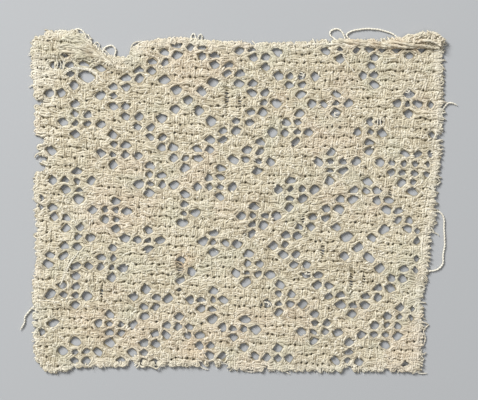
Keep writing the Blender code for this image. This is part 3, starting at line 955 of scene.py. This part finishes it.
def fuzz_material():
    """Bleached single fibres that stand out of the yarn."""
    material, shader, start = new_material("cotton_fibre")
    patch = start.node("ShaderNodeTexCoord", output="Object").noise(400.0)
    colour = start.node("ShaderNodeValToRGB", {"stops": ((0.3, PALE_CREAM), (0.7, BLEACHED))},
                        {"Fac": patch})
    material.node_tree.links.new(colour.socket, shader.inputs["Base Color"])
    shader.inputs["Roughness"].default_value = 0.8
    shader.inputs["Sheen Weight"].default_value = 0.1
    return material


FIBRE = fuzz_material()


def ground_sheet():
    """The felted middle of the cloth: a thin closed sheet with every opening in it, coloured darker as
    painted shade between the threads.
    """
    loops = [OUTLINE[::-1]] + [cell.corners(12) for cell in CELLS] + [hole.corners(5) for hole in PINHOLES]
    flat, faces = [], []
    for loop in loops:
        faces.append(list(range(len(flat), len(flat) + len(loop))))
        flat.extend(Vector(point) for point in loop)
    result = delaunay_2d_cdt(flat, [], faces, 1, 1e-7)
    places, triangles, origins = result[0], result[2], result[5]
    shell = bmesh.new()
    heights = lift(np.array([[point.x, point.y] for point in places]))
    upper = [shell.verts.new((point.x, point.y, GROUND_HIGH + height))
             for point, height in zip(places, heights)]
    for triangle, origin in zip(triangles, origins):
        if origin and set(origin) == {0}:
            shell.faces.new([upper[index] for index in triangle])
    loose = [vertex for vertex in shell.verts if not vertex.link_faces]
    bmesh.ops.delete(shell, geom=loose, context="VERTS")
    shell.normal_update()
    if sum(face.normal.z for face in shell.faces) < 0.0:
        bmesh.ops.reverse_faces(shell, faces=shell.faces)
    lower = bmesh.ops.extrude_face_region(shell, geom=list(shell.faces))
    for item in lower["geom"]:
        if isinstance(item, bmesh.types.BMVert):
            item.co.z += GROUND_LOW - GROUND_HIGH
    bmesh.ops.recalc_face_normals(shell, faces=shell.faces)
    mesh = bpy.data.meshes.new("lace_ground")
    shell.to_mesh(mesh)
    shell.free()
    # A low tint, part of the ground's painted shade
    tint = mesh.attributes.new("tint", "FLOAT", "POINT")
    tint.data.foreach_set("value", np.full(len(mesh.vertices), 0.3, np.float32))
    mesh.attributes.new("wear", "FLOAT", "POINT")
    mesh.materials.append(GROUND_SHADE_COTTON)
    return linked("lace_ground", mesh)


def wobble(amount, size, length):
    """A smooth wandering of a thread over its points."""
    knots = max(4, int(amount / length) + 3)
    values = dice.uniform(-size, size, knots)
    places = np.linspace(0.0, knots - 1.001, amount)
    low = places.astype(int)
    share = places - low
    share = share * share * (3.0 - 2.0 * share)
    return values[low] * (1.0 - share) + values[low + 1] * share


def runs_of(inside, before, after):
    """The stretches of a thread that lie on the cloth, each a little longer, as index ranges."""
    marks = np.flatnonzero(np.diff(np.concatenate([[0], inside.astype(int), [0]])))
    runs = []
    for start, end in zip(marks[::2], marks[1::2]):
        if end - start > 4:
            start = max(0, start - dice.integers(0, before + 1))
            runs.append((start, min(len(inside), end + dice.integers(0, after + 1))))
    return runs


def seam_share(rows):
    """How near a place is to the seam between two rows, from 0 to 1."""
    gap = np.abs(rows + 0.5 - np.round(rows + 0.5))
    return np.exp(-(gap / SEAM_WIDTH) ** 2)


def stitch_styles():
    """How each upright thread goes through each row: over it, under it or in plain weave."""
    draws = dice.random(((COLUMNS.stop - COLUMNS.start + 1) * WARPS_PER_CELL, len(ROWS) + 2))
    styles = np.zeros(draws.shape)
    styles[draws < UPRIGHT_SHARE] = 1.0
    styles[draws > 1.0 - LEVEL_SHARE] = -1.0
    return styles


STITCHES = stitch_styles()


def stitch_at(table, warp_index, rows):
    """A table's value for places given by upright thread and row."""
    warp = np.clip(np.asarray(warp_index) - COLUMNS.start * WARPS_PER_CELL, 0, len(table) - 1)
    row = np.clip(np.floor(np.asarray(rows) + 0.5).astype(int) - ROWS.start, 0, table.shape[1] - 1)
    return table[warp, row]


def waves(across, down, *turns):
    """Two waves that cross each other, each given by its turns in a step across and down."""
    return sum(np.sin(2.0 * np.pi * (right * across + below * down)) for right, below in turns)


def stitch_slants():
    """How far each upright thread leans over each row, much like its neighbours."""
    warp, row = np.indices(STITCHES.shape)
    alike = waves(warp, row, (0.071, 0.43), (0.023, -0.19))
    return STITCH_SLANT * (0.5 * alike + dice.uniform(-0.6, 0.6, STITCHES.shape))


SLANTS = stitch_slants()


def seam_strength(columns, rows):
    """How deep the seam is near each place, since it comes and goes."""
    depth = 0.72 + 0.34 * waves(columns, np.round(rows + 0.5), (0.31, 0.37), (0.127, -0.71))
    return np.clip(depth, 0.15, 1.0)


def lay_thread(yarns, columns, rows, rise, own, axis, longer):
    """Add one thread of the cloth, from its places in the mesh and its weave."""
    amount = len(columns)
    places = mesh_points(columns, rows)
    places[:, 1] += quiver(columns, rows)
    places[:, axis] += wobble(amount, THREAD_WANDER, 5)
    inside = inside_outline(places)
    if not inside.any():
        return
    seam = seam_share(rows) * seam_strength(columns, rows)
    phase = rows + 0.5 - np.floor(rows + 0.5)
    if axis == 0:
        warp = np.round((columns + 0.5) * WARPS_PER_CELL - 0.5).astype(int)
        places[:, 0] += stitch_at(SLANTS, warp, rows) * (phase - 0.5) * (1.0 - seam_share(rows))
        rise = rise * (1.0 - seam) - WEAVE_RISE * seam
    places, crowding = part_thread(places, own, axis)
    places[:, axis] += crowding * wobble(amount, RIM_WANDER, 2)
    puff = ROW_PUFF * (1.0 - np.abs(2.0 * phase - 1.0) ** 3)
    height = CLOTH_MIDDLE + rise * (1.0 + wobble(amount, 0.5, 5)) + puff - SEAM_DEPTH * seam
    at_rim = dice.uniform(*RIM_HEIGHT) * MM + wobble(amount, 0.16 * MM, 2)
    height = height + crowding * at_rim + wobble(amount, 0.09 * MM, 6)
    height = np.maximum(height + lift(places), LOWEST_THREAD)
    girth = YARN_RADIUS * (0.98 + wobble(amount, 0.22, 3)) * (1.0 - 0.22 * crowding)
    if axis == 1:
        girth = girth * (1.0 - 0.6 * on_ladder(places))
    edge = np.clip(1.0 - edge_distance(places) / WORN_BORDER, 0.0, 1.0)
    wear = np.clip(crowding * dice.uniform(0.0, 0.12) + edge * dice.uniform(0.1, 0.5), 0.0, 1.0)
    tint = np.clip(dice.uniform(0.32, 0.68) + wobble(amount, 0.45, 3) - 0.12 * crowding, 0.0, 1.0)
    # Painted shade along the seam grooves between rows
    tint = tint * (1.0 - SEAM_SHADE * seam)
    for start, end in runs_of(inside, *longer):
        part = slice(start, end)
        from_end = np.minimum(np.arange(end - start), np.arange(end - start)[::-1])
        thin = np.minimum(1.0, 0.7 + 0.2 * from_end)
        yarns.add(np.column_stack([places[part], height[part]]), girth[part] * thin, tint[part], wear[part])


def on_ladder(places):
    """Which places lie on a ladder, where the level threads are bare."""
    bare = np.zeros(len(places), bool)
    for x, y, wide, high in LADDERS:
        bare |= (np.abs(places[:, 0] - x * MM) < wide * MM) & (np.abs(places[:, 1] - y * MM) < high * MM)
    return bare


def smooth_route(route, step):
    """Points at an even step, in metres, along the smooth curve through a route given in mm."""
    knots = [np.array(place, float) * MM for place in route]
    knots = [2.0 * knots[0] - knots[1]] + knots + [2.0 * knots[-1] - knots[-2]]
    points = []
    for before, start, end, after in zip(knots, knots[1:], knots[2:], knots[3:]):
        count = max(1, round(float(np.linalg.norm(end - start)) / step))
        for index in range(count):
            t = index / count
            bend = (2.0 * start + (end - before) * t
                    + (2.0 * before - 5.0 * start + 4.0 * end - after) * t ** 2
                    + (3.0 * start - before - 3.0 * end + after) * t ** 3)
            points.append(bend / 2.0)
    points.append(knots[-2])
    return np.array(points)


def flat_normals(points):
    """The level direction across a path at each of its points."""
    ahead = np.gradient(points[:, :2], axis=0)
    ahead /= np.linalg.norm(ahead, axis=1)[:, None] + NEVER_ZERO
    return np.column_stack([-ahead[:, 1], ahead[:, 0]])


def wound(centre, wide, high, turns, share):
    """A strand that winds round a centre line, starting at a share of a turn."""
    amount = len(centre)
    angle = 2.0 * np.pi * (turns * np.arange(amount) / (amount - 1) + share)
    aside = flat_normals(centre) * (wide * np.cos(angle))[:, None]
    return np.column_stack([centre[:, :2] + aside, centre[:, 2] + high * np.sin(angle)])


def woven(first, last, axis):
    """The upright (axis 0) or level (axis 1) threads between two columns or rows of the mesh."""
    yarns = Yarns()
    cells, steps, own_in_cell, crossed_in_cell, longer = (
        (ROWS, WARP_STEPS_PER_CELL, WARPS_PER_CELL, WEFTS_PER_CELL, (1, 1)),
        (COLUMNS, WEFT_STEPS_PER_CELL, WEFTS_PER_CELL, WARPS_PER_CELL, (1, 3)),
    )[axis]
    along = np.arange(cells.start - 0.5, cells.stop, 1.0 / steps)
    crossing = crossed_in_cell * (along + 0.5) - 0.5
    for cell in range(first, last):
        for beside in range(own_in_cell):
            index = cell * own_in_cell + beside
            plain = np.cos(np.pi * (crossing + index))
            if axis == 0:
                own = cell - 0.5 + (beside + 0.5) / own_in_cell
                style = stitch_at(STITCHES, np.full(len(along), index), along)
            else:
                own = cell + WEFT_PLACES[beside]
                style = stitch_at(STITCHES, np.round(crossing).astype(int), np.full(len(along), cell))
            rise = (WEAVE_RISE, -WEAVE_RISE)[axis] * np.where(style == 0.0, plain, style)
            level = np.full(len(along), own)
            columns, rows = (along, level) if axis else (level, along)
            lay_thread(yarns, columns, rows, rise, own, axis, longer)
    return yarns


def two_ply(yarns, route, top, ply, tint, wear, frayed=False):
    """A two-ply thread along a route: over the cloth at a height, beyond it near the floor."""
    path = smooth_route(route, 0.45 * MM)
    amount = len(path)
    path = path + np.column_stack([wobble(amount, 0.10 * MM, 5), wobble(amount, 0.10 * MM, 5)])
    height = np.where(inside_outline(path), top + lift(path), LOWEST_THREAD)
    height = np.convolve(np.pad(height, 3, mode="edge"), np.ones(7) / 7.0, mode="valid")
    centre = np.column_stack([path, height + wobble(amount, 0.08 * MM, 4)])
    thin = np.minimum(1.0, (np.arange(amount)[::-1] + 2.0) / 7.0) if frayed else 1.0
    for share in (0.0, 0.5):
        strand = wound(centre, PLY_OFFSET * ply, PLY_OFFSET * ply, amount * PLY_TURNS, share)
        yarns.add(strand, ply * thin, tint, wear)


def loose_threads(yarns):
    """The threads that have come out of the edges, and those that lie over the cloth."""
    for name, route in LOOSE_THREADS.items():
        two_ply(yarns, route, *LOOSE_TOP_AND_PLY, 0.75, 0.55, name in FRAYED_THREADS)
    for route in STRAY_THREADS:
        two_ply(yarns, route, *STRAY_TOP_AND_PLY, rng.uniform(0.4, 0.8), rng.uniform(0.2, 0.6))
    for route in WHISKERS:
        two_ply(yarns, route, *WHISKER_TOP_AND_PLY, rng.uniform(0.5, 0.9), rng.uniform(0.3, 0.7), True)
    for x, y, size in CURLS:
        for _ in range(2):
            first = rng.uniform(0.0, 2.0 * math.pi)
            angles = first + np.linspace(0.0, rng.uniform(1.0, 1.6) * math.pi, len(CURL_RADII))
            radius = size * np.array(CURL_RADII) * rng.uniform(0.7, 1.1)
            shift = rng.uniform(-0.5, 0.5)
            route = [(x + shift + r * math.cos(a), y + 0.7 * r * math.sin(a))
                     for r, a in zip(radius, angles)]
            two_ply(yarns, route, *CURL_TOP_AND_PLY, 0.7, 0.6)


def bent(start, ahead, forth, aside):
    """A path from a start: so far forth along a direction, and so far to the left of it."""
    left = np.array([-ahead[1], ahead[0]])
    return start + np.outer(forth, ahead) + np.outer(aside, left)


def edge_finish(yarns):
    """Knobs, loops and frayed ends of thread all round the outline."""
    for side, (spacing, looped, length, _) in EDGE_FINISH.items():
        line = side_points(side)
        steps = np.linalg.norm(np.diff(line, axis=0), axis=1)
        along = np.concatenate([[0.0], np.cumsum(steps)])
        ahead = np.gradient(line, axis=0)
        ahead /= np.linalg.norm(ahead, axis=1)[:, None] + NEVER_ZERO
        place = 0.0
        while place < along[-1]:
            centre, forward = (np.array([np.interp(place, along, values[:, axis]) for axis in (0, 1)])
                               for values in (line, ahead))
            forward /= np.linalg.norm(forward) + NEVER_ZERO
            if bitten(side, centre[1 if SIDES[side][1] else 0]) > BITE_LEFT_BARE:
                place += spacing * MM
                continue
            if rng.random() < looped:
                edge_loop(yarns, centre, forward, length * rng.uniform(0.7, 1.2) * MM)
            else:
                frayed_end(yarns, centre, forward, length * rng.uniform(0.5, 1.5) * MM)
            place += spacing * rng.uniform(0.6, 1.4) * MM


def edge_loop(yarns, centre, forward, reach):
    """One small loop of yarn where a thread turns back into the cloth."""
    half = rng.uniform(0.6, 1.05) * MM
    base = rng.uniform(0.55, 1.15) * MM
    lean = rng.uniform(-0.6, 0.6)
    outward = np.array([-forward[1], forward[0]])
    angles = np.linspace(-0.35, math.pi + 0.35, 9)
    for size in (1.0, 0.35):
        outwards = reach * (np.sin(angles) * 1.15 * size - 0.45)
        along = half * size * np.cos(angles) + lean * np.maximum(outwards, 0.0)
        start = centre - outward * 1.5 * MM + forward * half * 0.8 * size
        end = centre - outward * 1.5 * MM - forward * half * 0.8 * size
        path = np.vstack([start, bent(centre, forward, along, outwards), end])
        height = np.concatenate([[0.9 * MM], base + 0.15 * MM * np.sin(angles * 2.0), [0.8 * MM]])
        yarns.add(np.column_stack([path, height]), rng.uniform(0.34, 0.44) * MM,
                  rng.uniform(0.3, 0.75), rng.uniform(0.05, 0.35))


def frayed_end(yarns, centre, forward, reach):
    """One cut or worn end of yarn that stands out of the edge."""
    lean = rng.uniform(-0.8, 0.8)
    curl = rng.uniform(-0.7, 0.7)
    share = np.linspace(-1.0, 1.0, 7)
    beyond = np.maximum(share, 0.0)
    outward = np.array([-forward[1], forward[0]])
    aside = (lean * beyond + curl * beyond ** 2) * reach
    path = bent(centre, outward, share * max(reach, 0.8 * MM), -aside)
    height = 0.95 * MM - 0.40 * MM * beyond + rng.uniform(-0.15, 0.25) * MM
    girth = rng.uniform(0.22, 0.38) * MM * np.where(share > 0.8, 0.7, 1.0)
    yarns.add(np.column_stack([path, height]), girth, rng.uniform(0.3, 0.85), rng.uniform(0.1, 0.6))


def rolled_edges(yarns):
    """The strands of the rolled upper right edge, wound loosely round its length."""
    for first, last, strands, turns, route in FOLDS:
        path = smooth_route(route, 0.6 * MM)
        amount = len(path)
        size = np.linspace(first * MM, last * MM, amount)
        centre = np.column_stack([path, size + 0.5 * MM])
        for index in range(strands):
            share = (index + rng.uniform(-0.2, 0.2)) / strands
            strand = wound(centre, 1.2 * size, 0.85 * size, turns * rng.uniform(0.8, 1.2), share)
            strand += np.column_stack([wobble(amount, 0.30 * MM, 2) for _ in range(3)])
            strand[:, 2] = np.maximum(strand[:, 2], LOWEST_THREAD)
            girth = YARN_RADIUS * (0.80 + wobble(amount, 0.25, 2))
            tint = np.clip(0.4 + wobble(amount, 0.55, 2), 0.0, 1.0)
            yarns.add(strand, girth, tint, rng.uniform(0.0, 0.3))


def flap_stitches(yarns):
    """The short stitches on the flap that is turned up at the rolled end."""
    for _ in range(FLAP_STITCHES):
        along = rng.random()
        wide = 4.6 - 3.2 * (2.0 * along - 1.0) ** 2
        place = np.array([73.0 + 13.0 * along, 66.0 + rng.uniform(0.0, 1.0) * wide])
        turn = rng.gauss(0.5 - along, 0.7)
        half = rng.uniform(0.4, 0.9)
        share = np.array([-1.0, -0.4, 0.4, 1.0])
        path = bent(place, (math.cos(turn), math.sin(turn)), share * half, 0.0 * share) * MM
        top = rng.uniform(1.9, 2.7) * MM
        yarns.add(np.column_stack([path, top - 0.35 * MM * share ** 2]), rng.uniform(0.3, 0.44) * MM,
                  rng.uniform(0.2, 0.8), rng.uniform(0.0, 0.4))


def gathered_strands(yarns):
    """The strands that the torn corner is gathered into, closing up towards the dip."""
    for index in range(GATHERED_STRANDS):
        share = (index + rng.uniform(-0.35, 0.35)) / (GATHERED_STRANDS - 1)
        cross = rng.uniform(-0.30, 0.30)
        shares = share + cross * np.linspace(-0.5, 0.5, len(GATHER_ROUTES[0]))
        route = [np.array(high) * (1.0 - part) + np.array(low) * part
                 for high, low, part in zip(*GATHER_ROUTES, np.clip(shares, 0.0, 1.0))]
        first = rng.uniform(0.0, 0.9)
        route[0] = route[0] * (1.0 - first) + route[1] * first
        path = smooth_route(route, 0.7 * MM)
        amount = len(path)
        path = path + np.column_stack([wobble(amount, 0.30 * MM, 3), wobble(amount, 0.45 * MM, 3)])
        height = rng.uniform(1.05, 1.80) * MM + wobble(amount, 0.35 * MM, 3)
        height[[0, -1]] = 0.8 * MM
        yarns.add(np.column_stack([path, height]), YARN_RADIUS * (0.9 + wobble(amount, 0.2, 4)),
                  np.clip(0.30 + wobble(amount, 0.6, 3), 0.0, 1.0), rng.uniform(0.0, 0.2))


def free_places():
    """A batch of places on the cloth that keep off the openings and the pinholes."""
    batch = dice.uniform(OUTLINE.min(axis=0), OUTLINE.max(axis=0), (4000, 2))
    batch = batch[inside_outline(batch)]
    free = np.ones(len(batch), bool)
    for cell in CELLS:
        away = batch - cell.centre
        gap = np.hypot(away[:, 0], away[:, 1])
        free &= gap > cell.rim(np.arctan2(away[:, 1], away[:, 0])) + FLOAT_FROM_CELL
    for centre in PINHOLE_CENTRES:
        free &= np.hypot((batch[:, 0] - centre[0]) * 0.7, batch[:, 1] - centre[1]) > FLOAT_FROM_PINHOLE
    return batch[free]


def short_floats(yarns):
    """Short stretches of yarn that ride up over the weave, a third of them upright."""
    laid = 0
    share = np.array([-1.0, -0.45, 0.45, 1.0])
    while laid < SHORT_FLOATS:
        for centre in free_places()[:SHORT_FLOATS - laid]:
            upright = dice.random() < UPRIGHT_FLOATS
            turn = dice.normal(math.pi / 2.0 if upright else 0.0, 0.5)
            reach = dice.uniform(0.4, 0.9) * MM
            bow = dice.uniform(-0.25, 0.25) * (1.0 - share ** 2) * MM
            path = bent(centre, (math.cos(turn), math.sin(turn)), share * reach, bow)
            top = dice.uniform(1.20, 1.42) * MM + lift(centre[None, :])[0]
            height = np.array([top - 0.45 * MM, top, top, top - 0.45 * MM])
            yarns.add(np.column_stack([path, height]), dice.uniform(0.28, 0.42) * MM,
                      dice.uniform(0.35, 1.0), dice.uniform(0.0, 0.5))
            laid += 1


def fibre_fuzz(yarns):
    """Fine fibres that stand out of the edges."""
    for _ in range(FIBRES):
        index = rng.randrange(len(OUTLINE))
        place, ahead = OUTLINE[index], OUTLINE[index] - OUTLINE[index - 1]
        ahead = ahead / (np.linalg.norm(ahead) + NEVER_ZERO)
        outward = np.array([-ahead[1], ahead[0]])
        turn = rng.gauss(0.0, 0.8)
        way = outward * math.cos(turn) + ahead * math.sin(turn)
        reach = rng.uniform(0.6, 2.0) * MM
        share = np.array([-0.35, 0.15, 0.6, 1.0])
        curl = rng.uniform(-0.6, 0.6)
        place = place + rng.uniform(-0.5, 0.5) * ahead * MM
        path = bent(place, way, share * reach, curl * reach * share ** 2)
        height = rng.uniform(0.3, 1.3) * MM - share * rng.uniform(-0.2, 0.2) * MM
        path = np.column_stack([path, np.maximum(height, 0.1 * MM)])
        yarns.add(path, rng.uniform(0.028, 0.055) * MM, 0.8, 1.0)


def set_camera():
    """A camera straight above, framing the cloth as the photograph does."""
    data = bpy.data.cameras.new("camera")
    data.lens = CAMERA_LENS
    data.sensor_width = CAMERA_SENSOR
    data.clip_start = CAMERA_NEAREST
    camera = linked("camera", data)
    camera.location = (CAMERA_ASIDE, CAMERA_ASIDE, CAMERA_HEIGHT)
    bpy.context.scene.camera = camera


def set_light():
    """Soft studio light from the upper left, with a weak fill."""
    for name, place, size, power in LIGHTS:
        data = bpy.data.lights.new(name, "AREA")
        data.size = size
        data.energy = power
        light = linked(name, data)
        light.location = place
        light.rotation_euler = (-Vector(place)).to_track_quat("-Z", "Y").to_euler()
    world = bpy.data.worlds.new("studio")
    world.use_nodes = True
    world.node_tree.nodes["Background"].inputs[0].default_value = (1.0, 1.0, 1.0, 1.0)
    world.node_tree.nodes["Background"].inputs[1].default_value = WORLD_LIGHT
    bpy.context.scene.world = world
    bpy.context.scene.view_settings.view_transform = "Standard"


def set_floor():
    """A plain pale floor."""
    bpy.ops.mesh.primitive_plane_add(size=3.0, location=(0.0, 0.0, 0.0))
    floor = bpy.context.object
    floor.name = "floor"
    material, shader, _ = new_material("floor_paint")
    shader.inputs["Base Color"].default_value = FLOOR_GREY
    shader.inputs["Roughness"].default_value = 0.9
    floor.data.materials.append(material)


set_camera()
set_light()
set_floor()

ground = ground_sheet()
middle_column = (COLUMNS.start + COLUMNS.stop) // 2
middle_row = (ROWS.start + ROWS.stop) // 2
threads = [
    woven(first, last, axis).piece(name, 4, WOVEN_COTTON)
    for name, first, last, axis in (
        ("warps_left", COLUMNS.start, middle_column, 0), ("warps_right", middle_column, COLUMNS.stop, 0),
        ("wefts_upper", ROWS.start, middle_row, 1), ("wefts_lower", middle_row, ROWS.stop, 1))
]
for name, sides, material, makers in (
        ("edge_threads", 6, WOVEN_COTTON, (edge_finish, rolled_edges, flap_stitches, gathered_strands)),
        ("loose_threads", 6, LOOSE_COTTON, (loose_threads,)),
        ("short_floats", 4, WOVEN_COTTON, (short_floats,)),
        ("fibre_fuzz", 3, FIBRE, (fibre_fuzz,))):
    yarns = Yarns()
    for make in makers:
        make(yarns)
    threads.append(yarns.piece(name, sides, material))

for piece in [ground] + threads:
    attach(piece, BODY)
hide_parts("lace")
